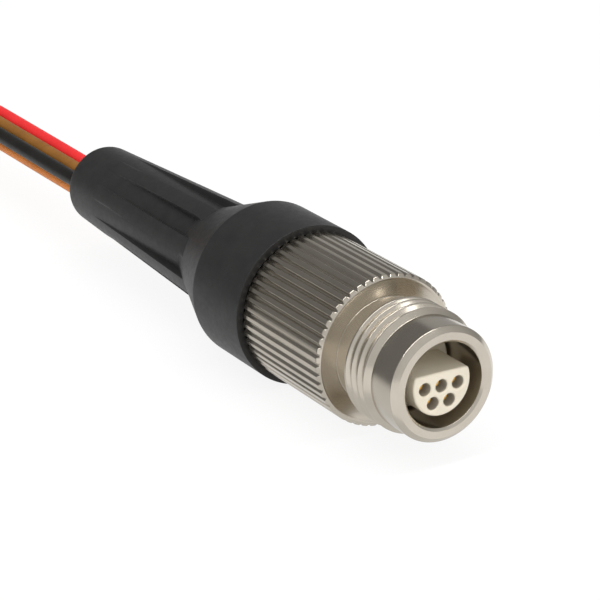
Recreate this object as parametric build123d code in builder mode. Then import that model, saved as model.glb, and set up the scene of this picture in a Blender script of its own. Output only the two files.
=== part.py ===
from build123d import *
from math import cos, pi, radians, sin, tan
import os

# Small circular cable connector with a threaded, knurled coupling sleeve.
# The mating direction is +X and up is +Z. The origin is on the axis, in the
# plane where the plain nose ends and the thread begins. Lengths are in mm.

# Nose, thread and neck at the front of the coupling sleeve; the barrel is plain,
# at the major radius of its fine thread
nose_wall = 1.05
nose_length = 2.3
nose_chamfer = 0.38
mouth_chamfer = 0.17
thread_height = 0.365
thread_length = 2.55
thread_lead_in = 0.2
neck_depth = 0.25
neck_length = 2.0

# Knurled grip of the coupling sleeve
grip_wall = 1.02
rim_drop = 0.19
rim_bevel = 0.44
rim_rise = 0.4
cove_depth = 0.25
knurl_teeth = 51
knurl_depth = 0.18
knurl_land_share = 0.55
knurl_floor_share = 0.2
grip_shown = 9.9
grip_hidden = 3.5
shoulder_depth = 4.85

# Ring and washer that trap the sleeve on the shell's flange
washer_thickness = 0.5
flange_thickness = 1.4
flange_clearance = 0.05
ring_thickness = 0.55
ring_shell_clearance = 0.35
ring_reach = 0.7
ring_seat_depth = 0.25
ring_gap_angle = 30
ring_seat_clearance = 0.02
o_ring_section = 0.7
o_ring_seat_width = 0.86
o_ring_clearance = 0.04

# Shell, the fixed metal tube inside the sleeve and the boot
shell_front = 3.0
shell_bore = 2.4
shell_wall = 0.9
journal_wall = 0.5
shell_grip = 6.45
barb_height = 0.32
barb_length = 1.2
barb_spacing = 2.0
barb_count = 2
running_clearance = 0.05
end_clearance = 0.05
seat_clearance = 0.03

# Insulator, its D-shaped nose and the contact pattern
insert_nose_radius = 2.2
insert_flat_height = 0.83
insert_nose_length = 3.48
insert_flange_clearance = 0.15
insert_body_length = 3.0
retainer_length = 2.2
contact_pitch = 1.27
contact_row_height = -0.15
contact_hole_radius = 0.43

# Socket contacts
contact_radius = 0.41
contact_recess = 0.88
contact_bore_radius = 0.25
contact_bore_depth = 4.0
contact_slot_width = 0.12
contact_slot_length = 2.6
collar_radius = 0.52
collar_length = 0.6
contact_tail_length = 3.4

# Boot
bell_length = 6.15
bell_wall = 0.24
bell_clearance = 0.19
bell_cavity_depth = 4.0
taper_length = 4.9
tail_start_radius = 4.0
tail_end_radius = 3.12
tail_length = 19.5
tail_round = 0.8
tail_bore_radius = 2.15
flute_count = 8
flute_angle = 24
flute_floor = 3.32
flute_front_step = 0.04
flute_reach = 16.5

# Crimp ring round the leads
crimp_ring_length = 3.5
crimp_ring_wall = 0.42
crimp_ring_setback = 0.6

# Leads: their routes are chosen by hand as x, y, z, and end at the hank
lead_radius = 0.6
potting_length = 13.8
bend_share = 0.45
LEAD_ROUTES = {
    "black": [(-10.0, -1.27, -0.15), (-38.0, -1.26, -0.16), (-66.5, -1.36, -0.11),
              (-81.0, -5.74, -3.38), (-90.0, -5.61, -3.42)],
    "brown": [(-10.0, 0.0, -0.15), (-38.0, 0.0, -0.16), (-66.5, 0.0, -0.11),
              (-81.0, -4.6, -2.55), (-90.0, -4.6, -2.69)],
    "red": [(-10.0, 1.27, -0.15), (-38.0, 1.26, -0.16), (-66.5, 1.36, -0.11),
            (-81.0, -3.46, -3.38), (-90.0, -3.59, -3.42)],
    "orange": [(-10.0, -0.635, -1.25), (-38.0, -0.63, -1.24), (-66.5, -0.68, -1.29),
               (-81.0, -5.31, -4.72), (-90.0, -5.22, -4.61)],
    "yellow": [(-10.0, 0.635, -1.25), (-38.0, 0.63, -1.24), (-66.5, 0.68, -1.29),
               (-81.0, -3.89, -4.72), (-90.0, -3.98, -4.61)],
}

# Hank: the put-away leads lie in stacked turns, held by a tie
hank_bundle_radius = 1.65
hank_fold_radius = 4.6
hank_run = 24.4
hank_layers = 3
hank_edge_round = 1.5
tie_width = 2.4
tie_thickness = 0.4
tie_slack = 0.08
tie_head = (4.0, 3.4, 2.0)
tie_tail = 4.0

# Radii, worked out from the shell's bore outward
journal_radius = shell_bore + journal_wall
bore_radius = journal_radius + running_clearance
insert_flange_radius = bore_radius - insert_flange_clearance
nose_radius = bore_radius + nose_wall
thread_radius = nose_radius + thread_height
neck_radius = nose_radius - neck_depth
shell_tail_radius = shell_bore + shell_wall
ring_inner_radius = shell_tail_radius + ring_shell_clearance
counterbore_radius = ring_inner_radius + ring_reach
ring_outer_radius = counterbore_radius + ring_seat_depth
flange_radius = counterbore_radius - flange_clearance
grip_radius = counterbore_radius + grip_wall
rim_radius = grip_radius - rim_drop
cavity_radius = grip_radius + bell_clearance
bell_radius = cavity_radius + bell_wall

# Stations along the axis, worked out from the lengths above
nose_front = nose_length + nose_chamfer
thread_back = -thread_length
neck_back = thread_back - neck_length
rim_front = neck_back + rim_rise
bell_front = rim_front - grip_shown
grip_back = bell_front - grip_hidden
sleeve_shoulder = rim_front - shoulder_depth
washer_front = sleeve_shoulder - end_clearance
flange_front = washer_front - washer_thickness
flange_back = flange_front - flange_thickness
ring_front = flange_back - end_clearance
ring_back = ring_front - ring_thickness
shell_start = -shell_front
insert_front = nose_length
insert_base = insert_front - insert_nose_length
insert_back = shell_start - insert_body_length
retainer_back = insert_back - retainer_length
contact_front = insert_front - contact_recess
contact_back = insert_back - collar_length - contact_tail_length
potting_back = retainer_back - potting_length
cavity_floor = bell_front - bell_cavity_depth
shell_back = cavity_floor - shell_grip
bell_back = bell_front - bell_length
tail_front = bell_back - taper_length
tail_back = tail_front - tail_length
boot_back = tail_back - tail_round
ring_seat = shell_back - crimp_ring_setback
ring_seat_back = ring_seat - crimp_ring_length
floor_height = -bell_radius
hank_bottom = floor_height + tie_thickness
hank_width = 2 * (hank_fold_radius + hank_bundle_radius)
hank_height = 2 * hank_bundle_radius * hank_layers
hank_front = LEAD_ROUTES["brown"][-1][0]
hank_near_turn = hank_front - hank_fold_radius - hank_bundle_radius
hank_middle = hank_near_turn - hank_run / 2

row_drop = contact_pitch * sin(radians(60))
CONTACTS = [
    (-contact_pitch, contact_row_height),
    (0, contact_row_height),
    (contact_pitch, contact_row_height),
    (-contact_pitch / 2, contact_row_height - row_drop),
    (contact_pitch / 2, contact_row_height - row_drop),
]


def cross_plane(x):
    """The plane square to the axis at x, with Y to its right and Z up."""
    return Plane(origin=(x, 0, 0), x_dir=(0, 1, 0), z_dir=(1, 0, 0))


def barbs(start, extra):
    """Profile points of the barbs on the shell's tail, from the front to the back."""
    points = []
    for number in range(barb_count):
        front = start - number * barb_spacing
        points += [
            (front, shell_tail_radius + extra),
            (front, shell_tail_radius + barb_height + extra),
            (front - barb_length, shell_tail_radius + extra),
        ]
    return points


# Coupling sleeve, turned in one piece: nose, threaded barrel and knurled grip
with BuildPart() as coupling_sleeve:
    cove_middle = (neck_back - cove_depth, (neck_radius + rim_radius) / 2)
    with BuildSketch(Plane.XZ):
        with BuildLine():
            Polyline(
                (neck_back, neck_radius),
                (thread_back, neck_radius),
                (thread_back, thread_radius),
                (-thread_lead_in, thread_radius),
                (0, nose_radius),
                (nose_length, nose_radius),
                (nose_front, nose_radius - nose_chamfer),
                (nose_front, bore_radius + mouth_chamfer),
                (nose_front - mouth_chamfer, bore_radius),
                (sleeve_shoulder, bore_radius),
                (sleeve_shoulder, counterbore_radius),
                (grip_back, counterbore_radius),
                (grip_back, rim_radius),
                (grip_back + rim_bevel, grip_radius),
                (rim_front - rim_bevel, grip_radius),
                (rim_front, rim_radius),
            )
            ThreePointArc((rim_front, rim_radius), cove_middle, (neck_back, neck_radius))
        make_face()
    revolve(axis=Axis.X)
    tooth_angle = 360 / knurl_teeth
    land_half = radians(tooth_angle * (1 - knurl_land_share) / 2)
    floor_half = radians(tooth_angle * knurl_floor_share / 2)
    valley_radius = grip_radius - knurl_depth
    mouth_radius = grip_radius + knurl_depth
    valley_spread = sin(land_half) + (sin(land_half) - sin(floor_half))
    with BuildSketch(cross_plane(grip_back)):
        with PolarLocations(0, knurl_teeth):
            with BuildLine():
                Polyline(
                    (valley_radius, -valley_radius * sin(floor_half)),
                    (mouth_radius, -mouth_radius * valley_spread),
                    (mouth_radius, mouth_radius * valley_spread),
                    (valley_radius, valley_radius * sin(floor_half)),
                    close=True,
                )
            make_face()
    extrude(amount=rim_front - grip_back, mode=Mode.SUBTRACT)
    ring_seat_radius = ring_outer_radius + ring_seat_clearance
    with BuildSketch(cross_plane(ring_back - ring_seat_clearance)):
        Circle(ring_seat_radius)
        Circle(counterbore_radius - seat_clearance, mode=Mode.SUBTRACT)
    extrude(amount=ring_thickness + 2 * ring_seat_clearance, mode=Mode.SUBTRACT)
coupling_sleeve.part.label = "coupling_sleeve"

# Retaining ring, a split ring sprung into the groove inside the sleeve
with BuildPart() as retaining_ring:
    with BuildSketch(cross_plane(ring_back)):
        Circle(ring_outer_radius)
        Circle(ring_inner_radius, mode=Mode.SUBTRACT)
        with BuildLine():
            reach = 2 * ring_outer_radius
            gap_half = radians(ring_gap_angle / 2)
            Polyline(
                (0, 0),
                (reach * cos(gap_half), reach * sin(gap_half)),
                (reach * cos(gap_half), -reach * sin(gap_half)),
                close=True,
            )
        make_face(mode=Mode.SUBTRACT)
    extrude(amount=ring_thickness)
retaining_ring.part.label = "retaining_ring"

# Thrust washer between the sleeve's inner shoulder and the shell's flange
with BuildPart() as thrust_washer:
    with BuildSketch(cross_plane(flange_front)):
        Circle(counterbore_radius - 2 * flange_clearance)
        Circle(journal_radius + seat_clearance, mode=Mode.SUBTRACT)
    extrude(amount=washer_thickness)
thrust_washer.part.label = "thrust_washer"

# Shell: journal for the sleeve, flange with its seal groove, and barbed tail
with BuildPart() as inner_shell:
    flange_middle = (flange_front + flange_back) / 2
    seal_floor = flange_radius - o_ring_section + o_ring_clearance - flange_clearance
    with BuildSketch(Plane.XZ):
        with BuildLine():
            Polyline(
                (shell_start, shell_bore),
                (shell_start, journal_radius),
                (flange_front, journal_radius),
                (flange_front, flange_radius),
                (flange_middle + o_ring_seat_width / 2, flange_radius),
                (flange_middle + o_ring_seat_width / 2, seal_floor),
                (flange_middle - o_ring_seat_width / 2, seal_floor),
                (flange_middle - o_ring_seat_width / 2, flange_radius),
                (flange_back, flange_radius),
                (flange_back, shell_tail_radius),
                *barbs(cavity_floor - barb_length, 0),
                (shell_back, shell_tail_radius),
                (shell_back, shell_bore),
                close=True,
            )
        make_face()
    revolve(axis=Axis.X)
inner_shell.part.label = "inner_shell"

# Seal ring in the flange's groove, a round-section elastomer ring
with BuildPart() as bore_seal:
    seal_radius = seal_floor + o_ring_section / 2
    with BuildSketch(Plane.XZ):
        with Locations((flange_middle, seal_radius)):
            Circle(o_ring_section / 2)
    revolve(axis=Axis.X)
bore_seal.part.label = "bore_seal"

# Insulator, moulded in one piece: D-shaped nose, flange and body
with BuildPart() as insulator:
    with BuildSketch(cross_plane(insert_base)):
        Circle(insert_nose_radius)
        with Locations((0, insert_flat_height)):
            Rectangle(
                2 * insert_nose_radius,
                insert_nose_radius,
                align=(Align.CENTER, Align.MIN),
                mode=Mode.SUBTRACT,
            )
    extrude(amount=insert_nose_length)
    with BuildSketch(cross_plane(shell_start)):
        Circle(insert_flange_radius)
    extrude(amount=insert_base - shell_start)
    with BuildSketch(cross_plane(insert_back)):
        Circle(shell_bore - seat_clearance)
    extrude(amount=insert_body_length)
    with BuildSketch(cross_plane(insert_back)):
        with Locations(*CONTACTS):
            Circle(contact_hole_radius)
    extrude(amount=insert_front - insert_back, mode=Mode.SUBTRACT)
insulator.part.label = "insulator"

# Retainer, a rear insulator disc that locks the contacts' collars
with BuildPart() as contact_retainer:
    with BuildSketch(cross_plane(retainer_back)):
        Circle(shell_bore - seat_clearance)
        with Locations(*CONTACTS):
            Circle(contact_hole_radius, mode=Mode.SUBTRACT)
    extrude(amount=retainer_length)
    with BuildSketch(cross_plane(insert_back)):
        with Locations(*CONTACTS):
            Circle(collar_radius + seat_clearance)
    extrude(amount=-collar_length - seat_clearance, mode=Mode.SUBTRACT)
contact_retainer.part.label = "contact_retainer"

# Socket contacts, turned and gold plated, with a split front and a collar
contacts = []
for number, place in enumerate(CONTACTS, start=1):
    with BuildPart() as contact:
        with BuildSketch(cross_plane(contact_back)):
            with Locations(place):
                Circle(contact_radius)
        extrude(amount=contact_front - contact_back)
        with BuildSketch(cross_plane(insert_back)):
            with Locations(place):
                Circle(collar_radius)
        extrude(amount=-collar_length)
        with BuildSketch(cross_plane(contact_front)):
            with Locations(place):
                Circle(contact_bore_radius)
        extrude(amount=-contact_bore_depth, mode=Mode.SUBTRACT)
        with BuildSketch(cross_plane(contact_front)):
            with Locations(place):
                Rectangle(3 * contact_radius, contact_slot_width)
                Rectangle(contact_slot_width, 3 * contact_radius)
        extrude(amount=-contact_slot_length, mode=Mode.SUBTRACT)
    contact.part.label = f"contact_{number}"
    contacts.append(contact)

# Potting, the cured resin round the contact tails and leads inside the shell
with BuildPart() as potting:
    with BuildSketch(cross_plane(potting_back)):
        Circle(shell_bore - seat_clearance)
    extrude(amount=potting_length)
    with BuildSketch(cross_plane(contact_back)):
        with Locations(*CONTACTS):
            Circle(contact_hole_radius)
    extrude(amount=retainer_back - contact_back, mode=Mode.SUBTRACT)
    with BuildSketch(cross_plane(potting_back)):
        with Locations(*CONTACTS):
            Circle(lead_radius + 2 * seat_clearance)
    extrude(amount=contact_back - potting_back, mode=Mode.SUBTRACT)
potting.part.label = "potting"

# Crimp ring that grips the lead bundle behind the shell
with BuildPart() as crimp_ring:
    with BuildSketch(cross_plane(ring_seat_back)):
        Circle(tail_bore_radius + crimp_ring_wall)
        Circle(tail_bore_radius, mode=Mode.SUBTRACT)
    extrude(amount=crimp_ring_length)
crimp_ring.part.label = "crimp_ring"

# Boot, moulded rubber: bell over the grip, taper and fluted tail
with BuildPart() as boot:
    with BuildSketch(Plane.XZ):
        with BuildLine():
            Polyline(
                (tail_back, tail_end_radius),
                (tail_front, tail_start_radius),
                (bell_back, bell_radius),
                (bell_front, bell_radius),
                (bell_front, cavity_radius),
                (cavity_floor, cavity_radius),
                (cavity_floor, shell_tail_radius + seat_clearance),
                *barbs(cavity_floor - barb_length, seat_clearance),
                (shell_back, shell_tail_radius + seat_clearance),
                (shell_back, tail_bore_radius),
                (ring_seat, tail_bore_radius),
                (ring_seat, tail_bore_radius + crimp_ring_wall + seat_clearance),
                (ring_seat_back, tail_bore_radius + crimp_ring_wall + seat_clearance),
                (ring_seat_back, tail_bore_radius),
                (boot_back, tail_bore_radius),
                (boot_back, tail_end_radius - tail_round),
            )
            RadiusArc(
                (boot_back, tail_end_radius - tail_round),
                (tail_back, tail_end_radius),
                tail_round,
            )
        make_face()
    revolve(axis=Axis.X)
    taper_slope = (bell_radius - tail_start_radius) / taper_length
    flute_start = tail_front - (tail_start_radius - flute_floor) / taper_slope
    flute_wall = tail_front - flute_front_step
    flute_wall_foot = tail_start_radius - 2 * flute_front_step * taper_slope
    for number in range(flute_count):
        first_side = number * 360 / flute_count - flute_angle / 2
        with BuildSketch(Plane.XZ.rotated((first_side, 0, 0))):
            with BuildLine():
                Polyline(
                    (flute_start, flute_floor),
                    (flute_wall, flute_wall_foot),
                    (flute_wall, bell_radius),
                    (tail_front - flute_reach, bell_radius),
                    (tail_front - flute_reach, flute_floor),
                    close=True,
                )
            make_face()
        revolve(axis=Axis.X, revolution_arc=flute_angle, mode=Mode.SUBTRACT)
boot.part.label = "boot"

# Leads, insulated wires from the contact tails to the hank
leads = []
for colour, route in LEAD_ROUTES.items():
    points = [Vector(*point) for point in route]
    radii = []
    for before, corner, after in zip(points, points[1:], points[2:]):
        turn = (corner - before).get_angle(after - corner)
        run = min((corner - before).length, (after - corner).length)
        radii.append(bend_share * run / tan(radians(turn / 2)))
    with BuildPart() as lead:
        with BuildLine() as path:
            FilletPolyline(*points, radius=radii)
        with BuildSketch(Plane(origin=points[0], z_dir=points[1] - points[0])):
            Circle(lead_radius)
        sweep()
    lead.part.label = f"lead_{colour}"
    leads.append(lead)
    run_length = path.wire().length
    share = lead.part.volume / (pi * lead_radius**2 * run_length)
    print(colour, "radii", [round(radius, 1) for radius in radii])
    print(" length", round(run_length, 2), "volume share", round(share, 4))

# Hank, the outer shape of the stacked turns, with the way in at its near end
with BuildPart() as lead_hank:
    hank_centre = hank_bottom + hank_height / 2
    hank_far_turn = hank_near_turn - hank_run
    sides = [(-hank_fold_radius, hank_centre), (hank_fold_radius, hank_centre)]
    with BuildSketch(cross_plane(hank_far_turn)):
        with Locations(*sides):
            RectangleRounded(2 * hank_bundle_radius, hank_height, hank_edge_round)
    extrude(amount=hank_run)
    for turn_x, side in ((hank_near_turn, sides[0]), (hank_far_turn, sides[1])):
        with BuildSketch(cross_plane(turn_x)):
            with Locations(side):
                RectangleRounded(2 * hank_bundle_radius, hank_height, hank_edge_round)
        turn_axis = Axis((turn_x, 0, 0), (0, 0, 1))
        revolve(axis=turn_axis, revolution_arc=180)
    with BuildSketch(cross_plane(hank_near_turn)):
        with Locations((-hank_fold_radius, hank_bottom + hank_bundle_radius)):
            Circle(hank_bundle_radius)
    extrude(amount=hank_front - hank_near_turn)
lead_hank.part.label = "lead_hank"

# Cable tie round the middle of the hank, with its head and tail on top
with BuildPart() as hank_tie:
    inner_width = hank_width + 2 * tie_slack
    inner_height = hank_height + tie_slack
    tie_round = hank_edge_round + tie_slack
    with BuildSketch(cross_plane(hank_middle - tie_width / 2)):
        with Locations((0, hank_bottom + inner_height / 2)):
            RectangleRounded(
                inner_width + 2 * tie_thickness,
                inner_height + 2 * tie_thickness,
                tie_round + tie_thickness,
            )
            RectangleRounded(inner_width, inner_height, tie_round, mode=Mode.SUBTRACT)
    extrude(amount=tie_width)
    tie_top = hank_bottom + inner_height + tie_thickness
    with BuildSketch(Plane.XY.offset(tie_top)):
        with Locations((hank_middle, 0)):
            Rectangle(tie_head[0], tie_head[1])
    extrude(amount=tie_head[2])
    with BuildSketch(cross_plane(hank_middle - tie_width / 2)):
        with Locations((tie_head[1] / 2 + tie_tail / 2, tie_top + tie_head[2] / 2)):
            Rectangle(tie_tail, tie_thickness)
    extrude(amount=tie_width)
hank_tie.part.label = "hank_tie"

os.makedirs("parts", exist_ok=True)
single_parts = [
    coupling_sleeve, retaining_ring, thrust_washer, inner_shell, bore_seal, insulator,
    contact_retainer, potting, crimp_ring, boot, lead_hank, hank_tie,
]
for piece in single_parts + contacts + leads:
    export_step(piece.part, f"parts/{piece.part.label}.step")
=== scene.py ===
from math import acos, cos, degrees, pi, radians, sin, sqrt, tan

import bmesh
import bpy
from mathutils import Matrix, Vector


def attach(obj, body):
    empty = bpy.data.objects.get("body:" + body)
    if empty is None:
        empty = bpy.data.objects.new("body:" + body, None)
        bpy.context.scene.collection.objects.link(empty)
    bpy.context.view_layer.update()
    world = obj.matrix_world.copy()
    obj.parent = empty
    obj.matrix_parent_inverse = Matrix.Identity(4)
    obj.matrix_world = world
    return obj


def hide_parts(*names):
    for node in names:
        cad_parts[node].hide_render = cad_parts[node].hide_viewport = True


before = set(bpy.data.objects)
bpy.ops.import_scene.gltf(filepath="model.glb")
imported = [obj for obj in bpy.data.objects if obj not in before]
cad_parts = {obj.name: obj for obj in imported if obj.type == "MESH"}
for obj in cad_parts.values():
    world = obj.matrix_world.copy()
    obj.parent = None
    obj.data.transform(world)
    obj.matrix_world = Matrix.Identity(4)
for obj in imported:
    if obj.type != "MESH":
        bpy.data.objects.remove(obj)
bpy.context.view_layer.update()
scene = bpy.context.scene
scene.view_settings.view_transform = "Standard"


# Camera: a long lens that looks at the mating end from the front, a little
# above the axis, framed as the photograph is.
camera = bpy.data.objects.new("camera", bpy.data.cameras.new("camera"))
scene.collection.objects.link(camera)
scene.camera = camera
camera.data.lens = 150
camera.data.sensor_width = 36
camera.data.clip_start = 0.01
camera.data.clip_end = 20
camera.location = (0.123824, -0.08424, 0.062425)
camera.rotation_euler = (radians(69), 0, radians(58.8))


# Leads: five stranded copper wires in smooth extruded insulation, straight out
# of the boot. Further back they draw together and go round the hank in three
# layers, where the tie holds them.
LEAD_RADIUS = 0.0006

# The hank's straight run, the radius of its folds, and the rise of each layer.
HANK_RUN = 24.4
HANK_FOLD = 4.6
HANK_HALF_TURN = pi * HANK_FOLD
HANK_TURN = 2 * HANK_RUN + 2 * HANK_HALF_TURN
HANK_LAYERS = 3
HANK_RISE = 3.3
HANK_LOWEST = -3.75
HANK_NEAR, HANK_FAR = -96.25, -120.65

# The leads lie round the bundle's centre at a radius, and twist as they go.
BUNDLE_RADIUS = 1.06
BUNDLE_TWIST = 4.2
TWIST_START = -6.25
BEND_SHARE = 0.966
CLIMB_SHARE = 0.62

# Where the last turn ends. Each lead is cut off a little beyond that.
HANK_END = (HANK_LAYERS - 1) * HANK_TURN + 2 * HANK_RUN + HANK_HALF_TURN

# Each lead's angle in the bundle, its cut, its two tones, its roughness, and its
# route to the hank.
LEAD_FACTS = {
    "black": (162, 0.6, (0.014, 0.013, 0.012), (0.009, 0.008, 0.007), 0.38,
              [(-16, -1.27, -0.15), (-38, -1.26, -0.16), (-65, -1.36, -0.11),
               (-71, -1.36, -0.11), (-81, -5.74, -3.38), (-90, -5.61, -3.42)]),
    "brown": (90, 3.4, (0.29, 0.12, 0.018), (0.22, 0.088, 0.012), 0.4,
              [(-16, 0, -0.15), (-38, 0, -0.16), (-65, 0, -0.11),
               (-71, 0, -0.11), (-81, -4.6, -2.55), (-90, -4.6, -2.69)]),
    "red": (18, 1.8, (0.83, 0.024, 0.026), (0.73, 0.019, 0.021), 0.4,
            [(-16, 1.27, -0.15), (-38, 1.26, -0.16), (-65, 1.36, -0.11),
             (-71, 1.36, -0.11), (-81, -3.46, -3.38), (-90, -3.59, -3.42)]),
    "orange": (234, 2.6, (0.66, 0.2, 0.02), (0.55, 0.16, 0.014), 0.4,
               [(-16, -0.635, -1.25), (-38, -0.63, -1.24), (-65, -0.68, -1.29),
                (-71, -0.68, -1.29), (-81, -5.31, -4.72), (-90, -5.22, -4.61)]),
    "yellow": (306, 4.4, (0.78, 0.56, 0.05), (0.68, 0.47, 0.04), 0.4,
               [(-16, 0.635, -1.25), (-38, 0.63, -1.24), (-65, 0.68, -1.29),
                (-71, 0.68, -1.29), (-81, -3.89, -4.72), (-90, -3.98, -4.61)]),
}


def link(name, data, body="connector_body"):
    """Adds a piece and lets it ride on a body."""
    piece = bpy.data.objects.new(name, data)
    scene.collection.objects.link(piece)
    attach(piece, body)
    return piece


def node(tree, kind, inputs=(), **settings):
    """Adds a shader node, sets it up and joins its inputs by name or number."""
    made = tree.nodes.new(kind)
    for key, value in settings.items():
        setattr(made, key, value)
    for key, value in dict(inputs).items():
        if isinstance(value, bpy.types.NodeSocket):
            tree.links.new(value, made.inputs[key])
        else:
            made.inputs[key].default_value = value
    return made


def ramp(tree, source, *stops):
    """A colour ramp through the stops, each a place and a grey or a colour."""
    made = node(tree, "ShaderNodeValToRGB", {0: source})
    elements = made.color_ramp.elements
    while len(elements) < len(stops):
        elements.new(0.5)
    for element, (place, value) in zip(elements, stops):
        element.position = place
        colour = (value,) * 3 if isinstance(value, (int, float)) else value
        element.color = (*colour, 1)
    return made.outputs[0]


def grain(tree, place, scale, detail=3.0, rough=0.55, stretch=(1, 1, 1)):
    """Noise in the piece's own millimetres, stretched along the axes."""
    scaled = node(tree, "ShaderNodeVectorMath", {0: place, 1: stretch}, operation="MULTIPLY")
    made = node(
        tree,
        "ShaderNodeTexNoise",
        {"Vector": scaled.outputs[0], "Scale": scale, "Detail": detail, "Roughness": rough},
    )
    return made.outputs[0]


def material(name):
    """A new material with its tree, its shader and its place in millimetres."""
    made = bpy.data.materials.new(name)
    made.use_nodes = True
    tree = made.node_tree
    coords = node(tree, "ShaderNodeTexCoord")
    place = node(
        tree, "ShaderNodeVectorMath", {0: coords.outputs["Object"], 1: (1000, 1000, 1000)},
        operation="MULTIPLY",
    )
    return made, tree, tree.nodes["Principled BSDF"], place.outputs[0]


def bump(tree, shader, height, distance, strength=1.0, under=None):
    """Raises the surface by a height, in metres at its full value."""
    inputs = {"Height": height, "Distance": distance, "Strength": strength}
    if under is not None:
        inputs["Normal"] = under
    made = node(tree, "ShaderNodeBump", inputs)
    tree.links.new(made.outputs[0], shader.inputs["Normal"])
    return made.outputs[0]


def finish(name, dark, light, cloud, satin, pores, metallic=0, along=(1, 1, 1)):
    """A material whose tone, roughness and relief each follow a grain.

    cloud is that grain's scale and detail for the tone. satin adds the roughness
    at its two ends, and pores the height in metres and the strength.
    """
    made, tree, shader, place = material(name)
    tone = grain(tree, place, *cloud)
    tree.links.new(ramp(tree, tone, (0.3, dark), (0.7, light)), shader.inputs["Base Color"])
    scale, detail, smooth, rough = satin
    gloss = ramp(tree, grain(tree, place, scale, detail), (0.3, smooth), (0.7, rough))
    tree.links.new(gloss, shader.inputs["Roughness"])
    scale, detail, height, strength = pores
    relief = grain(tree, place, scale, detail, stretch=along)
    bump(tree, shader, relief, height, strength)
    shader.inputs["Metallic"].default_value = metallic
    return made, shader


def hank_place(distance, lead_angle):
    """Where a lead lies at a distance from the hank's near turn, in millimetres."""
    count = min(max(int(distance // HANK_TURN), 0), HANK_LAYERS - 1)
    along = distance - count * HANK_TURN
    height = HANK_LOWEST + count * HANK_RISE
    angle = radians(lead_angle + BUNDLE_TWIST * max(distance - TWIST_START, 0))
    inward, up = BUNDLE_RADIUS * cos(angle), BUNDLE_RADIUS * sin(angle)
    bend = (HANK_FOLD - inward) / BEND_SHARE
    if along <= HANK_RUN:
        return (HANK_NEAR - along, -HANK_FOLD + inward, height + up)
    if along < HANK_RUN + HANK_HALF_TURN:
        swing = (along - HANK_RUN) / HANK_FOLD
        return (HANK_FAR - bend * sin(swing), -bend * cos(swing), height + up)
    if along <= 2 * HANK_RUN + HANK_HALF_TURN or count == HANK_LAYERS - 1:
        back = along - HANK_RUN - HANK_HALF_TURN
        return (HANK_FAR + back, HANK_FOLD - inward, height + up)
    swing = (along - 2 * HANK_RUN - HANK_HALF_TURN) / HANK_FOLD
    climb = min(swing / (CLIMB_SHARE * pi), 1)
    height += HANK_RISE * climb * climb * (3 - 2 * climb)
    return (HANK_NEAR + bend * sin(swing), bend * cos(swing), height + up)


stations = []
for count in range(HANK_LAYERS):
    start = count * HANK_TURN
    stations += [start + HANK_RUN * part / 4 for part in range(4)]
    stations += [start + HANK_RUN + HANK_HALF_TURN * part / 6 for part in range(7)]
    stations += [start + HANK_RUN * (1 + part / 4) + HANK_HALF_TURN for part in range(1, 4)]
    if count < HANK_LAYERS - 1:
        stations += [start + 2 * HANK_RUN + HANK_HALF_TURN * (1 + part / 6) for part in range(6)]

leads = {}
for colour, (angle, cut, light, dark, rough, route) in LEAD_FACTS.items():
    points = route + [hank_place(station, angle) for station in stations + [HANK_END + cut]]
    curve = bpy.data.curves.new(f"lead_{colour}_detail", "CURVE")
    curve.dimensions = "3D"
    curve.bevel_depth = LEAD_RADIUS
    curve.bevel_resolution = 7
    curve.resolution_u = 10
    curve.use_fill_caps = True
    spline = curve.splines.new("NURBS")
    spline.points.add(len(points) - 1)
    for point, (x, y, z) in zip(spline.points, points):
        point.co = (x / 1000, y / 1000, z / 1000, 1)
    spline.order_u = 3
    spline.use_endpoint_u = True
    insulation, shader = finish(
        f"insulation_{colour}", dark, light, (0.35, 4),
        (3.0, 4, rough - 0.06, rough + 0.08), (2.0, 5, 0.00002, 0.5),
    )
    shader.inputs["Specular IOR Level"].default_value = 0.25
    curve.materials.append(insulation)
    leads[colour] = link(f"lead_{colour}_detail", curve)


# Lead tips: the bare ends of the leads, a few millimetres of twisted and tinned
# strands beyond the insulation.
STRAND_BUNDLE = 0.3
STRAND_RELIEF = 0.08
TIP_ROWS = [
    (0, 0.95), (0.3, 1), (1, 1), (1.7, 1), (2.4, 1), (3.1, 1), (3.5, 0.95), (3.7, 0.75),
    (3.78, 0.4),
]
TIP_COLUMNS = 42


def solid(name, vertices, faces, sharp=35):
    """A mesh in metres from points in millimetres, smooth up to an angle."""
    mesh = bpy.data.meshes.new(name)
    mesh.from_pydata([(x / 1000, y / 1000, z / 1000) for x, y, z in vertices], [], faces)
    mesh.validate()
    mesh.shade_smooth()
    mesh.set_sharp_from_angle(angle=radians(sharp))
    return mesh


def between(first, second, columns):
    """The faces between two rows of vertices that close round a piece."""
    besides = [(column, (column + 1) % columns) for column in range(columns)]
    return [(first + a, first + b, second + b, second + a) for a, b in besides]


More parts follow.
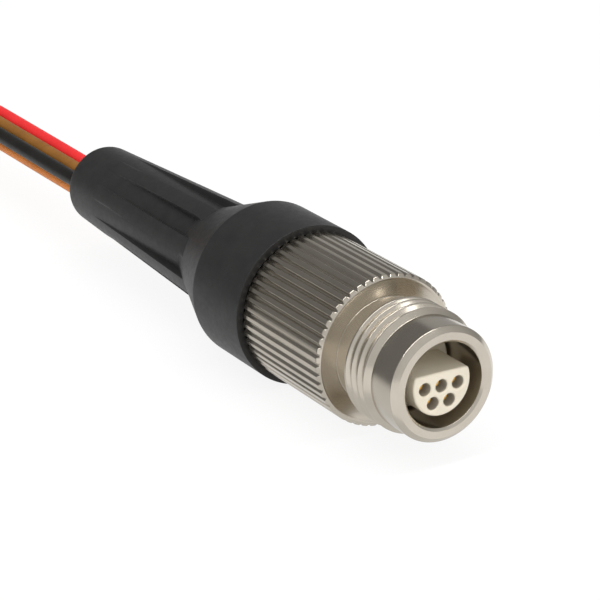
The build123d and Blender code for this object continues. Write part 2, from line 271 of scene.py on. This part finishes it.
tinned, _ = finish(
    "tinned_strands", (0.4, 0.4, 0.39), (0.66, 0.65, 0.63), (1.4, 5),
    (5, 4, 0.28, 0.5), (6, 5, 0.00003, 0.6), metallic=1,
)
for colour, (angle, cut, *_) in LEAD_FACTS.items():
    end = Vector(hank_place(HANK_END + cut, angle))
    vertices, faces = [], []
    for row, (along, size) in enumerate(TIP_ROWS):
        for column in range(TIP_COLUMNS):
            around = 2 * pi * column / TIP_COLUMNS
            lobe = abs(cos(3 * (around + along * 0.9)))
            radius = size * (STRAND_BUNDLE + STRAND_RELIEF * lobe)
            vertices.append(
                (end.x + along, end.y + radius * cos(around), end.z + radius * sin(around))
            )
        if row:
            faces += between((row - 1) * TIP_COLUMNS, row * TIP_COLUMNS, TIP_COLUMNS)
    last = (len(TIP_ROWS) - 1) * TIP_COLUMNS
    faces.append(tuple(range(TIP_COLUMNS))[::-1])
    faces.append(tuple(range(last, last + TIP_COLUMNS)))
    mesh = solid(f"tip_{colour}", vertices, faces, 60)
    mesh.materials.append(tinned)
    link(f"tip_{colour}", mesh)


# Hank tie: a moulded plastic strap drawn round the middle of the hank, its head
# on top with the cut and toothed tail through it.
TIE_MIDDLE = -108.45
STRAP_SECTION = [
    (-1.2, 0.08), (-1.12, 0), (1.12, 0), (1.2, 0.08),
    (1.2, 0.32), (1.12, 0.4), (-1.12, 0.4), (-1.2, 0.32),
]
LOOP_SIDE, LOOP_BOTTOM, LOOP_TOP, LOOP_CORNER = 6.33, -5.4, 4.58, 1.58
TAIL_START, TAIL_STEP, TAIL_COUNT, TAIL_SLOPE = 1.2, 0.15, 30, 0.02
TAIL_UNDER, TAIL_OVER, TAIL_TOOTH = 5.7, 6.12, 0.12

tie_plastic, _ = finish(
    "tie_plastic", (0.014, 0.014, 0.015), (0.03, 0.03, 0.032), (0.8, 4),
    (4, 4, 0.34, 0.52), (5, 5, 0.00003, 0.5),
)
side, top, bottom = LOOP_SIDE - LOOP_CORNER, LOOP_TOP - LOOP_CORNER, LOOP_BOTTOM + LOOP_CORNER
loop = []
for y, z, first in ((side, top, 0), (-side, top, 90), (-side, bottom, 180), (side, bottom, 270)):
    for step in range(9):
        swing = radians(first + 90 * step / 8)
        out_y, out_z = cos(swing), sin(swing)
        loop.append((y + LOOP_CORNER * out_y, z + LOOP_CORNER * out_z, out_y, out_z))
tie_vertices, tie_faces = [], []
for row, (y, z, out_y, out_z) in enumerate(loop):
    for across, out in STRAP_SECTION:
        tie_vertices.append((TIE_MIDDLE + across, y + out * out_y, z + out * out_z))
    tie_faces += between(row * 8, ((row + 1) % len(loop)) * 8, 8)
tail = len(tie_vertices)
for row in range(TAIL_COUNT):
    tooth = TAIL_OVER - TAIL_TOOTH * (row % 2)
    narrow = 0.35 * max(0, row - 26)
    wide, ridge = 1.1 - narrow, 0.8 - narrow
    rise = TAIL_SLOPE * row * TAIL_STEP
    for across, z in (
        (-wide, TAIL_UNDER), (wide, TAIL_UNDER), (wide, TAIL_OVER),
        (ridge, tooth), (-ridge, tooth), (-wide, TAIL_OVER),
    ):
        tie_vertices.append((TIE_MIDDLE + across, TAIL_START + TAIL_STEP * row, z + rise))
    if row:
        tie_faces += between(tail + (row - 1) * 6, tail + row * 6, 6)
tail_end = tail + (TAIL_COUNT - 1) * 6
tie_faces.append(tuple(range(tail, tail + 6))[::-1])
tie_faces.append(tuple(range(tail_end, tail_end + 6)))
strap = solid("tie_strap", tie_vertices, tie_faces, 40)
strap.materials.append(tie_plastic)
tie_strap = link("tie_strap", strap)


def extruded(name, outlines, back, front, edge, steps=4):
    """A solid with rounded rims from flat closed outlines of Y and Z, along X."""
    flat = bpy.data.curves.new(name, "CURVE")
    flat.dimensions = "2D"
    flat.fill_mode = "BOTH"
    flat.extrude = (front - back) / 2 / 1000 - edge / 1000
    flat.bevel_depth = edge / 1000
    flat.bevel_resolution = steps
    flat.offset = -edge / 1000
    for outline in outlines:
        spline = flat.splines.new("POLY")
        spline.points.add(len(outline) - 1)
        spline.use_cyclic_u = True
        for point, (y, z) in zip(spline.points, outline):
            point.co = (y / 1000, z / 1000, 0, 1)
    holder = bpy.data.objects.new(name, flat)
    mesh = bpy.data.meshes.new_from_object(holder)
    bpy.data.objects.remove(holder)
    middle = (front + back) / 2000
    mesh.transform(Matrix(((0, 0, 1, middle), (1, 0, 0, 0), (0, 1, 0, 0), (0, 0, 0, 1))))
    mesh.shade_smooth()
    mesh.set_sharp_from_angle(angle=radians(40))
    return mesh


head = extruded("tie_head", [
    [(-2, 0), (2, 0), (2, 1.9), (1.6, 2.1), (-1.6, 2.1), (-2, 1.9)],
    [(-1.3, 0.68), (-1.3, 1.2), (1.3, 1.2), (1.3, 0.68)],
], -1.7, 1.7, 0.14)
head.transform(Matrix(
    ((0, 1, 0, TIE_MIDDLE / 1000), (1, 0, 0, 0), (0, 0, 1, 0.00495), (0, 0, 0, 1))
))
head.materials.append(tie_plastic)
tie_head = link("tie_head", head)
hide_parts("hank_tie")
for colour, lead in leads.items():
    _, y, z = LEAD_FACTS[colour][-1][0]
    if colour == "brown":
        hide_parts("lead_brown", "lead_hank")
    else:
        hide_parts(f"lead_{colour}")


# Coupling sleeve: nose, fine thread, neck, cove and knurled grip, turned in one
# piece and nickel plated. It turns on the shell inside it, and its grip runs on
# into the boot's bell.
BORE, NOSE, THREAD, NECK, GRIP, VALLEY = 2.95, 4.0, 4.365, 3.75, 5.37, 5.19
SEAT, GROOVE, UNDER_BELL = 4.35, 4.62, 5.12
THREAD_BACK = -2.55

# The thread: its pitch, half the width of its crest, its root, the smoothing of
# its flanks and roots, and one crest's place at an angle. A plain ring bounds it
# at each end.
PITCH, CREST, ROOT = 0.72, 0.045, 3.95
FLANK_SLOPE, FLANK_SOFT, ROOT_SOFT = 0.866, 0.001, 0.0012
CREST_PLACE, CREST_ANGLE = -1.11, 145
FIRST_CREST, FRONT_RING, BACK_RING, LEAD_IN = -0.72, -0.3, -2.47, 0.1

# The knurl's teeth, the first one's share of a tooth from Y, and the profile: a
# share of the way from a valley to the next, and a radius.
TEETH, FIRST_TOOTH = 51, 0.43
KNURL = [
    (0, VALLEY), (0.045, VALLEY), (0.065, 5.197), (0.15, 5.271), (0.235, 5.3445), (0.25, 5.354),
    (0.268, 5.3625), (0.29, 5.368), (0.315, GRIP), (0.41, GRIP), (0.5, GRIP),
]

# The cove: where its floor begins, its reach along the radius, and the two parts
# of its depth.
COVE_X, COVE_R, COVE_REACH = -4.429, 3.79, 1.27
COVE_SLANT, COVE_CURVE, COVE_STEPS = 0.012, 0.176, 11


def rounded(corners, steps=5):
    """An outline in x and r whose corners, given as x, r and radius, are arcs."""
    outline = []
    count = len(corners)
    for number, (x, r, radius) in enumerate(corners):
        here = Vector((x, r))
        before = Vector(corners[number - 1][:2]) - here
        after = Vector(corners[(number + 1) % count][:2]) - here
        if radius <= 0:
            outline.append((x, r))
            continue
        half = before.angle(after) / 2
        reach = min(radius / tan(half), before.length * 0.49, after.length * 0.49)
        size = reach * tan(half)
        toward = (before.normalized() + after.normalized()).normalized()
        middle = here + toward * (size / sin(half))
        first = here + before.normalized() * reach - middle
        last = here + after.normalized() * reach - middle
        swing = first.angle_signed(last)
        for step in range(steps + 1):
            spoke = first.copy()
            spoke.rotate(Matrix.Rotation(-swing * step / steps, 2))
            outline.append(tuple(middle + spoke))
    return outline


def spun(outline, angles, radius_at=None):
    """Vertices and faces of an outline turned round the axis."""
    vertices, faces = [], []
    rows, columns = len(outline), len(angles)
    for x, r in outline:
        for angle in angles:
            radius = radius_at(x, r, angle) if radius_at else r
            vertices.append((x, radius * cos(angle), radius * sin(angle)))
    for row in range(rows):
        faces += between(row * columns, (row + 1) % rows * columns, columns)
    return vertices, faces


def even(columns):
    """Evenly spaced angles all the way round."""
    return [2 * pi * column / columns for column in range(columns)]


def joined(*parts):
    """Several sets of vertices and faces as one."""
    vertices, faces = [], []
    for more, loops in parts:
        base = len(vertices)
        vertices += more
        faces += [tuple(base + corner for corner in loop) for loop in loops]
    return vertices, faces


def flank(away):
    """The radius of a crest's flank at a distance from the crest's middle."""
    past = away - CREST
    return THREAD - FLANK_SLOPE * (past + sqrt(past ** 2 + FLANK_SOFT))


def threaded(x, r, angle):
    """The barrel's radius: a chamfer, a ring at each end and a right-hand thread."""
    if x > 0.2 or x < THREAD_BACK + 0.01 or r < 3.9:
        return r
    centre = CREST_PLACE + PITCH * (degrees(angle) - CREST_ANGLE) / 360
    nearest = centre + round((x - centre) / PITCH) * PITCH
    ridge = flank(abs(x - nearest)) if nearest < FIRST_CREST else 0
    front_ring = flank(max(0, FRONT_RING - x)) if x < -0.2 else THREAD
    back_ring = flank(max(0, x - BACK_RING))
    above = max(ridge, front_ring, back_ring) - ROOT
    form = ROOT + 0.5 * (above + sqrt(above ** 2 + ROOT_SOFT))
    chamfer = NOSE + max(0, LEAD_IN - x)
    return min(chamfer, THREAD, form)


def knurled(x, r, angle):
    """The grip's radius, cut by the valleys between its teeth."""
    if r < VALLEY or x > -4.2:
        return r
    share = (angle / (2 * pi) * TEETH - FIRST_TOOTH) % 1
    share = min(share, 1 - share)
    for (place0, radius0), (place1, radius1) in zip(KNURL, KNURL[1:]):
        if share <= place1 + 1e-6:
            along = (share - place0) / (place1 - place0)
            return min(r, radius0 + (radius1 - radius0) * along)
    return r


front = rounded([
    (THREAD_BACK, BORE, 0), (2.51, BORE, 0.04), (2.68, 3.12, 0.05), (2.68, 3.62, 0.05),
    (2.3, NOSE, 0.12), (0.1, NOSE, 0.12), (-0.26, THREAD, 0.06), (THREAD_BACK, THREAD, 0.03),
    (THREAD_BACK, NECK, 0),
])
front_rows = []
for (x0, r0), (x1, r1) in zip(front, front[1:] + front[:1]):
    front_rows.append((x0, r0))
    if abs(r0 - r1) < 0.01 and x0 - x1 > 1.5 and r0 > 4.2:
        parts = int((x0 - x1) / 0.024)
        front_rows += [(x0 + (x1 - x0) * step / parts, r0) for step in range(1, parts)]

rear = [(THREAD_BACK, BORE), (THREAD_BACK, NECK), (-3.5, NECK), (-4.38, NECK)]
rear += [(-4.397, 3.752), (-4.411, 3.757), (-4.421, 3.766), (-4.427, 3.778), (COVE_X, COVE_R)]
for step in range(1, COVE_STEPS):
    share = step / COVE_STEPS
    depth = COVE_SLANT * share + COVE_CURVE * share ** 2
    rear.append((COVE_X + depth, COVE_R + COVE_REACH * share))
rear += [
    (-4.226, 5.087), (-4.225, 5.105), (-4.3, VALLEY), (-4.39, 5.2925), (-4.422, 5.327),
    (-4.443, 5.345), (-4.47, 5.36), (-4.505, 5.368), (-4.54, GRIP),
    (-4.6, GRIP), (-7, GRIP), (-10, GRIP), (-13.86, GRIP), (-13.9, 5.34), (-14.02, VALLEY),
    (-14.2, UNDER_BELL), (-17.1, UNDER_BELL), (-17.4, 5.1), (-17.55, 5.0), (-17.55, SEAT),
    (-11.57, SEAT), (-11.57, GROOVE), (-10.98, GROOVE), (-10.98, SEAT), (-9.0, SEAT),
    (-9.0, BORE),
]
places = [place for place, _ in KNURL]
places += [1 - place for place in places[-2:0:-1]]
teeth = [tooth + place + FIRST_TOOTH for tooth in range(TEETH) for place in places]
sleeve_vertices, sleeve_faces = joined(
    spun(front_rows, even(300), threaded),
    spun(rear, [2 * pi * tooth / TEETH for tooth in teeth], knurled),
)
sleeve_mesh = solid("coupling_sleeve_detail", sleeve_vertices, sleeve_faces, 34)
nickel, tree, shader, place = material("nickel_plate")
shader.inputs["Metallic"].default_value = 1
plate = ramp(
    tree, grain(tree, place, 0.5, 5), (0.3, (0.565, 0.517, 0.44)), (0.7, (0.62, 0.568, 0.486))
)
tree.links.new(plate, shader.inputs["Base Color"])
satin = ramp(tree, grain(tree, place, 1.2, 5, stretch=(3, 1, 1)), (0.3, 0.19), (0.7, 0.235))
tree.links.new(satin, shader.inputs["Roughness"])
turning_lines = grain(tree, place, 9, 4, stretch=(1, 0.02, 0.02))
under = bump(tree, shader, turning_lines, 0.000002, 0.2)
bump(tree, shader, grain(tree, place, 3.5, 3), 0.000004, 0.1, under)
sleeve_mesh.materials.append(nickel)
sleeve = link("coupling_sleeve_detail", sleeve_mesh, "coupling")
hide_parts("coupling_sleeve")


# Insulator: a cream moulding, its D-shaped nose with five contact holes, then a
# flange that nearly fills the sleeve's bore. The holes' walls have painted shade:
# a darker tone of the cream, standing in for the shade that falls inside them.
INSERT_RADIUS, FLAT_HEIGHT = 2.2, 0.83
HOLE_RADIUS = 0.45
CONTACTS_AT = [(-1.27, -0.15), (0, -0.15), (1.27, -0.15), (-0.635, -1.25), (0.635, -1.25)]


def circle(y, z, radius, count=48):
    """Points round a circle in the Y, Z plane."""
    steps = [2 * pi * step / count for step in range(count)]
    return [(y + radius * cos(around), z + radius * sin(around)) for around in steps]


holes = [circle(y, z, HOLE_RADIUS, 40)[::-1] for y, z in CONTACTS_AT]
corner_angle = pi / 2 - acos(FLAT_HEIGHT / INSERT_RADIUS)
corner_y = INSERT_RADIUS * cos(corner_angle)
d_outline = []
for step in range(97):
    angle = pi - corner_angle + 0.06 + (pi + 2 * corner_angle - 0.12) * step / 96
    d_outline.append((INSERT_RADIUS * cos(angle), INSERT_RADIUS * sin(angle)))
d_outline += [
    (corner_y - 0.03, 0.79), (corner_y - 0.1, 0.825), (corner_y - 0.2, FLAT_HEIGHT),
    (0.9, FLAT_HEIGHT), (0, FLAT_HEIGHT), (-0.9, FLAT_HEIGHT),
    (0.2 - corner_y, FLAT_HEIGHT), (0.1 - corner_y, 0.825), (0.03 - corner_y, 0.79),
]
cream, shader = finish(
    "cream_moulding", (0.72, 0.655, 0.525), (0.755, 0.69, 0.56), (0.6, 4),
    (3, 4, 0.38, 0.52), (4, 5, 0.00002, 0.4),
)
shader.inputs["Subsurface Weight"].default_value = 0.08
shader.inputs["Subsurface Radius"].default_value = (0.6, 0.4, 0.25)
shader.inputs["Subsurface Scale"].default_value = 0.0006
# Painted shade: a darker tone of the cream for the hole walls, in place of the shade inside the
# holes.
hole_wall_painted_shade, _ = finish(
    "hole_wall_painted_shade", (0.36, 0.33, 0.265), (0.43, 0.39, 0.315), (0.6, 4),
    (3, 3, 0.45, 0.6), (4, 5, 0.00002, 0.4),
)
moulding = bpy.data.meshes.new("insulator_detail")
together = bmesh.new()
for mesh in (
    extruded("nose", [d_outline] + holes, -1.2, 2.3, 0.13, 6),
    extruded("flange", [circle(0, 0, 2.8, 96)] + holes, -3.0, -1.18, 0.1),
    extruded("body", [circle(0, 0, 2.37, 72)] + holes, -6.0, -2.98, 0.04),
):
    together.from_mesh(mesh)
together.to_mesh(moulding)
together.free()
moulding.shade_smooth()
moulding.set_sharp_from_angle(angle=radians(40))
moulding.materials.append(cream)
moulding.materials.append(hole_wall_painted_shade)
# The faces of the hole walls take the painted-shade material.
for face in moulding.polygons:
    at_y, at_z = face.center.y * 1000, face.center.z * 1000
    away = min(sqrt((at_y - y) ** 2 + (at_z - z) ** 2) for y, z in CONTACTS_AT)
    if abs(face.normal.x) < 0.2 and away < HOLE_RADIUS + 0.02:
        face.material_index = 1
insulator = link("insulator_detail", moulding)
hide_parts("insulator")


# Contacts: gold plated sockets, their mouths split into four tines, seen at the
# bottom of the insulator's holes. A collar behind locks each one in place.
TINE_STEPS = 10
TINE = rounded([
    (-1.1, 0.25, 0), (1.26, 0.27, 0.02), (1.355, 0.4, 0.01), (1.37, 0.415, 0.004),
    (1.35, 0.43, 0.008), (-1.1, 0.43, 0),
], 3)
BARREL = rounded([
    (-2.6, 0, 0), (-2.6, 0.25, 0), (-1.1, 0.25, 0), (-1.1, 0.41, 0), (-6.0, 0.41, 0),
    (-6.0, 0.52, 0.05), (-6.6, 0.52, 0.05), (-6.6, 0.41, 0), (-10.0, 0.41, 0.04), (-10.0, 0, 0),
], 3)

gold, _ = finish(
    "gold_plate", (0.9, 0.52, 0.1), (0.98, 0.62, 0.16), (2, 4),
    (6, 4, 0.18, 0.34), (8, 4, 0.00001, 0.4), metallic=1,
)


def tine(quarter):
    """One of the four tines of a contact's mouth, about the X axis."""
    vertices, faces = [], []
    width = TINE_STEPS + 1
    angles = [radians(90 * quarter + 10 + 70 * step / TINE_STEPS) for step in range(width)]
    for x, r in TINE:
        vertices += [(x, r * cos(angle), r * sin(angle)) for angle in angles]
    rows = len(TINE)
    for row in range(rows):
        for column in range(TINE_STEPS):
            a, b = row * width + column, (row + 1) % rows * width + column
            faces.append((a, a + 1, b + 1, b))
    faces.append(tuple(row * width for row in range(rows)))
    faces.append(tuple(row * width + TINE_STEPS for row in range(rows))[::-1])
    return vertices, faces


socket_vertices, socket_faces = joined(
    *[tine(quarter) for quarter in range(4)], spun(BARREL, even(40))
)
for number, (y, z) in enumerate(CONTACTS_AT, start=1):
    placed = [(x, y + across, z + up) for x, across, up in socket_vertices]
    mesh = solid(f"contact_{number}_detail", placed, socket_faces, 40)
    mesh.materials.append(gold)
    contact = link(f"contact_{number}_detail", mesh)
    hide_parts(f"contact_{number}")


# Boot: moulded rubber, a bell whose lip turns in behind the knurl, a short taper
# and a tail with eight flutes, whose floor runs out where the cone has come down
# to it.
TAIL_END, TAIL_FRONT = -45.4, -25.1
BELL, CAVITY, TAIL_BORE = 5.8, 5.405, 2.15
FLUTES, FLUTE_FLOOR = 8, 3.32
FLUTE_HALF, FLUTE_WALL = 12.9, 1.5


def fluted(x, r, angle):
    """The boot's outer radius, cut by the flutes along the tail."""
    if x > TAIL_FRONT + 0.05 or x < -42 or r < 3.0:
        return r
    away = degrees(angle) % (360 / FLUTES)
    away = min(away, 360 / FLUTES - away)
    share = max(0, min(1, (FLUTE_HALF - away) / FLUTE_WALL))
    share = share * share * (3 - 2 * share)
    floor = max(FLUTE_FLOOR, 3.985 - 0.367 * (-25.14 - x))
    return r + (min(r, floor) - r) * share


boot_outline = rounded([
    (TAIL_END, TAIL_BORE, 0.1), (TAIL_END, 3.12, 0.8), (TAIL_FRONT, 4.0, 0.12),
    (-20.2, BELL, 0.7), (-14.05, BELL, 0.035), (-14.15, 5.2, 0.03), (-14.6, 5.2, 0.03),
    (-14.7, CAVITY, 0.02), (-18.05, CAVITY, 0.3), (-18.05, 3.33, 0), (-24.5, 3.33, 0),
    (-24.5, TAIL_BORE, 0), (TAIL_FRONT, TAIL_BORE, 0), (TAIL_FRONT, 2.6, 0), (-28.6, 2.6, 0),
    (-28.6, TAIL_BORE, 0),
], 8)
tail_shares = [0.02 * step for step in range(1, 40)] + [0.8 + 0.02 * step for step in range(10)]
tail_shares = [share for share in tail_shares if share < 0.9]
tail_shares += [0.9 + 0.0085 * step for step in range(12)]
boot_rows = []
for (x0, r0), (x1, r1) in zip(boot_outline, boot_outline[1:] + boot_outline[:1]):
    boot_rows.append((x0, r0))
    if x0 < -40 and x1 > -26 and r0 > 2.5:
        for share in sorted(set(tail_shares)):
            boot_rows.append((x0 + (x1 - x0) * share, r0 + (r1 - r0) * share))
flute_steps = [
    -12.9, -12.6, -12.3, -12.05, -11.8, -11.6, -11.4, -9, -6, -3, 0, 3, 6, 9,
    11.4, 11.6, 11.8, 12.05, 12.3, 12.6, 12.9, 15, 18, 20.5, 22.5, 24.5, 27, 30,
]
flute_angles = [
    radians(360 / FLUTES * flute + away) for flute in range(FLUTES) for away in flute_steps
]
boot_vertices, boot_faces = spun(boot_rows, flute_angles, fluted)
boot_mesh = solid("boot_detail", boot_vertices, boot_faces, 38)
rubber, shader = finish(
    "boot_rubber", (0.0165, 0.0165, 0.0165), (0.0225, 0.0222, 0.0218), (0.9, 6),
    (2.5, 5, 0.39, 0.48), (12, 4, 0.00001, 0.5),
)
shader.inputs["Specular IOR Level"].default_value = 0.4
boot_mesh.materials.append(rubber)
boot = link("boot_detail", boot_mesh)
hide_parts("boot")


# Hidden pieces: the CAD solids inside the connector. The ring and washer are
# spring steel, the shell and crimp ring plated metal, the seal rubber, the
# potting cured resin, and the retainer the insulator's cream plastic.
def finish_nodes(made, *names):
    """Gives CAD nodes a material."""
    for name in names:
        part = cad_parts[name]
        part.data.materials.clear()
        part.data.materials.append(made)


spring_steel, _ = finish(
    "spring_steel", (0.36, 0.36, 0.36), (0.5, 0.5, 0.49), (1.5, 5),
    (5, 4, 0.25, 0.42), (7, 4, 0.00001, 0.4), metallic=1,
)
shell_metal, _ = finish(
    "shell_metal", (0.55, 0.5, 0.4), (0.65, 0.6, 0.5), (0.8, 5),
    (4, 4, 0.28, 0.4), (8, 4, 0.00001, 0.4), metallic=1, along=(1, 0.05, 0.05),
)
seal_rubber, _ = finish(
    "seal_rubber", (0.012, 0.012, 0.012), (0.022, 0.022, 0.022), (1, 5),
    (4, 4, 0.5, 0.65), (7, 4, 0.00001, 0.4),
)
resin, _ = finish(
    "potting_resin", (0.02, 0.02, 0.02), (0.045, 0.04, 0.038), (0.7, 5),
    (2, 4, 0.15, 0.35), (2, 4, 0.00003, 0.4),
)
finish_nodes(spring_steel, "retaining_ring", "thrust_washer")
finish_nodes(shell_metal, "inner_shell", "crimp_ring")
finish_nodes(seal_rubber, "bore_seal")
finish_nodes(resin, "potting")
finish_nodes(cream, "contact_retainer")


# Floor: a white sheet that takes the object's soft shadow. To the camera and in
# reflections it is mostly plain white.
FLOOR_HEIGHT, FLOOR_REACH = -0.0058, 4
FLOOR_WHITE = 0.88


def reckon(tree, operation, first, second):
    """One value from two others."""
    made = node(tree, "ShaderNodeMath", {0: first, 1: second}, operation=operation)
    return made.outputs[0]


floor_mesh = bpy.data.meshes.new("floor")
floor_mesh.from_pydata([
    (-FLOOR_REACH, -FLOOR_REACH, FLOOR_HEIGHT), (FLOOR_REACH, -FLOOR_REACH, FLOOR_HEIGHT),
    (FLOOR_REACH, FLOOR_REACH, FLOOR_HEIGHT), (-FLOOR_REACH, FLOOR_REACH, FLOOR_HEIGHT),
], [], [(0, 1, 2, 3)])
floor = bpy.data.objects.new("floor", floor_mesh)
scene.collection.objects.link(floor)
paper, tree, shader, place = material("white_floor")
shader.inputs["Base Color"].default_value = (0.97, 0.97, 0.97, 1)
shader.inputs["Roughness"].default_value = 0.9
shader.inputs["Specular IOR Level"].default_value = 0.1
rays = node(tree, "ShaderNodeLightPath").outputs
seen = reckon(tree, "MAXIMUM", rays["Is Camera Ray"], rays["Is Glossy Ray"])
seen = reckon(tree, "MAXIMUM", seen, rays["Is Transmission Ray"])
plain = reckon(tree, "MULTIPLY", seen, FLOOR_WHITE)
white = node(tree, "ShaderNodeEmission", {"Color": (1, 1, 1, 1), "Strength": 1.0})
covered = node(
    tree, "ShaderNodeMixShader", {0: plain, 1: shader.outputs[0], 2: white.outputs[0]}
)
tree.links.new(covered.outputs[0], tree.nodes["Material Output"].inputs["Surface"])
floor_mesh.materials.append(paper)


# Dark cards: a tall one behind the object and a low one on the floor beside it,
# which only reflections see. They give the plated metal its dark bands, and
# each grows lighter towards one side.
def graded(tree, value, start, end, low, high, curve="LINEAR"):
    """A value that goes from low to high as another goes from start to end."""
    made = node(tree, "ShaderNodeMapRange", {
        "Value": value, "From Min": start, "From Max": end, "To Min": low, "To Max": high,
    }, interpolation_type=curve)
    return made.outputs[0]


def dark_card(name, corners, near, far):
    """A flat card whose tone runs along Y, from a place and tone to another."""
    mesh = bpy.data.meshes.new(name)
    mesh.from_pydata(corners, [], [(0, 1, 2, 3)])
    card = bpy.data.objects.new(name, mesh)
    scene.collection.objects.link(card)
    felt, tree, _, place = material(name)
    sides = node(tree, "ShaderNodeSeparateXYZ", {0: place})
    tone = graded(tree, sides.outputs[1], near[0], far[0], near[1], far[1], "SMOOTHSTEP")
    glow = node(tree, "ShaderNodeEmission", {"Color": (1, 1, 1, 1), "Strength": tone})
    tree.links.new(glow.outputs[0], tree.nodes["Material Output"].inputs["Surface"])
    mesh.materials.append(felt)
    card.visible_camera = False
    card.visible_diffuse = False
    card.visible_shadow = False
    card.visible_transmission = False


dark_card("card_behind", [
    (-0.8, -1.4, -0.0055), (-0.8, 0.9, -0.0055), (-0.8, 0.9, 1.3), (-0.8, -1.4, 1.3),
], (280, 0.18), (440, 0.4))
dark_card("card_beside", [
    (-0.8, -1.4, -0.0056), (0.004, -1.4, -0.0056), (0.004, 0.012, -0.0056),
    (-0.8, 0.012, -0.0056),
], (-42, 0.18), (-12, 0.74))


# World: white for the camera, a pale studio in reflections, and for light a soft
# surround that is a little brighter on the mating side and overhead.
world = bpy.data.worlds.new("studio")
scene.world = world
world.use_nodes = True
tree = world.node_tree
tree.nodes.clear()
coords = node(tree, "ShaderNodeTexCoord")
toward = node(tree, "ShaderNodeSeparateXYZ", {0: coords.outputs["Generated"]}).outputs
sideways = graded(tree, toward[0], -1, 1, 0.38, 0.48)
upward = graded(tree, toward[2], 0, 1, 0, 0.6)
level = reckon(tree, "ADD", sideways, upward)
rays = node(tree, "ShaderNodeLightPath").outputs
mirrored = graded(tree, toward[0], -0.2, 0.72, 0.3, 0.73)
in_metal = node(tree, "ShaderNodeMix", {0: rays["Is Glossy Ray"], 2: level, 3: mirrored})
clear = reckon(tree, "MAXIMUM", rays["Is Camera Ray"], rays["Is Transmission Ray"])
strength = node(tree, "ShaderNodeMix", {0: clear, 2: in_metal.outputs[0], 3: 1.0})
surround = node(
    tree, "ShaderNodeBackground", {"Color": (1, 1, 1, 1), "Strength": strength.outputs[0]}
)
node(tree, "ShaderNodeOutputWorld", {0: surround.outputs[0]})


# Lights: a long soft box overhead, across the object, a broad fill in front that
# reflections don't show, and a small box at the front left for the glints.
def softbox(name, place, aim, size, power):
    """An area light of a width and a length that points at a spot."""
    light = bpy.data.objects.new(name, bpy.data.lights.new(name, "AREA"))
    light.data.shape = "RECTANGLE"
    light.data.size, light.data.size_y = size
    light.data.energy = power
    light.location = place
    light.rotation_euler = (Vector(aim) - Vector(place)).to_track_quat("-Z", "Y").to_euler()
    scene.collection.objects.link(light)
    return light


softbox("overhead", (0.14, -0.27, 0.7), (0.14, -0.27, 0), (0.13, 1.0), 3.2)
fill = softbox("front_fill", (0.75, -0.1, 0.5), (0, 0, 0), (0.4, 0.4), 0.9)
fill.visible_glossy = False
softbox("front_left", (0.695, 0.52, 0.5), (0, 0, 0), (0.17, 0.17), 0.3)
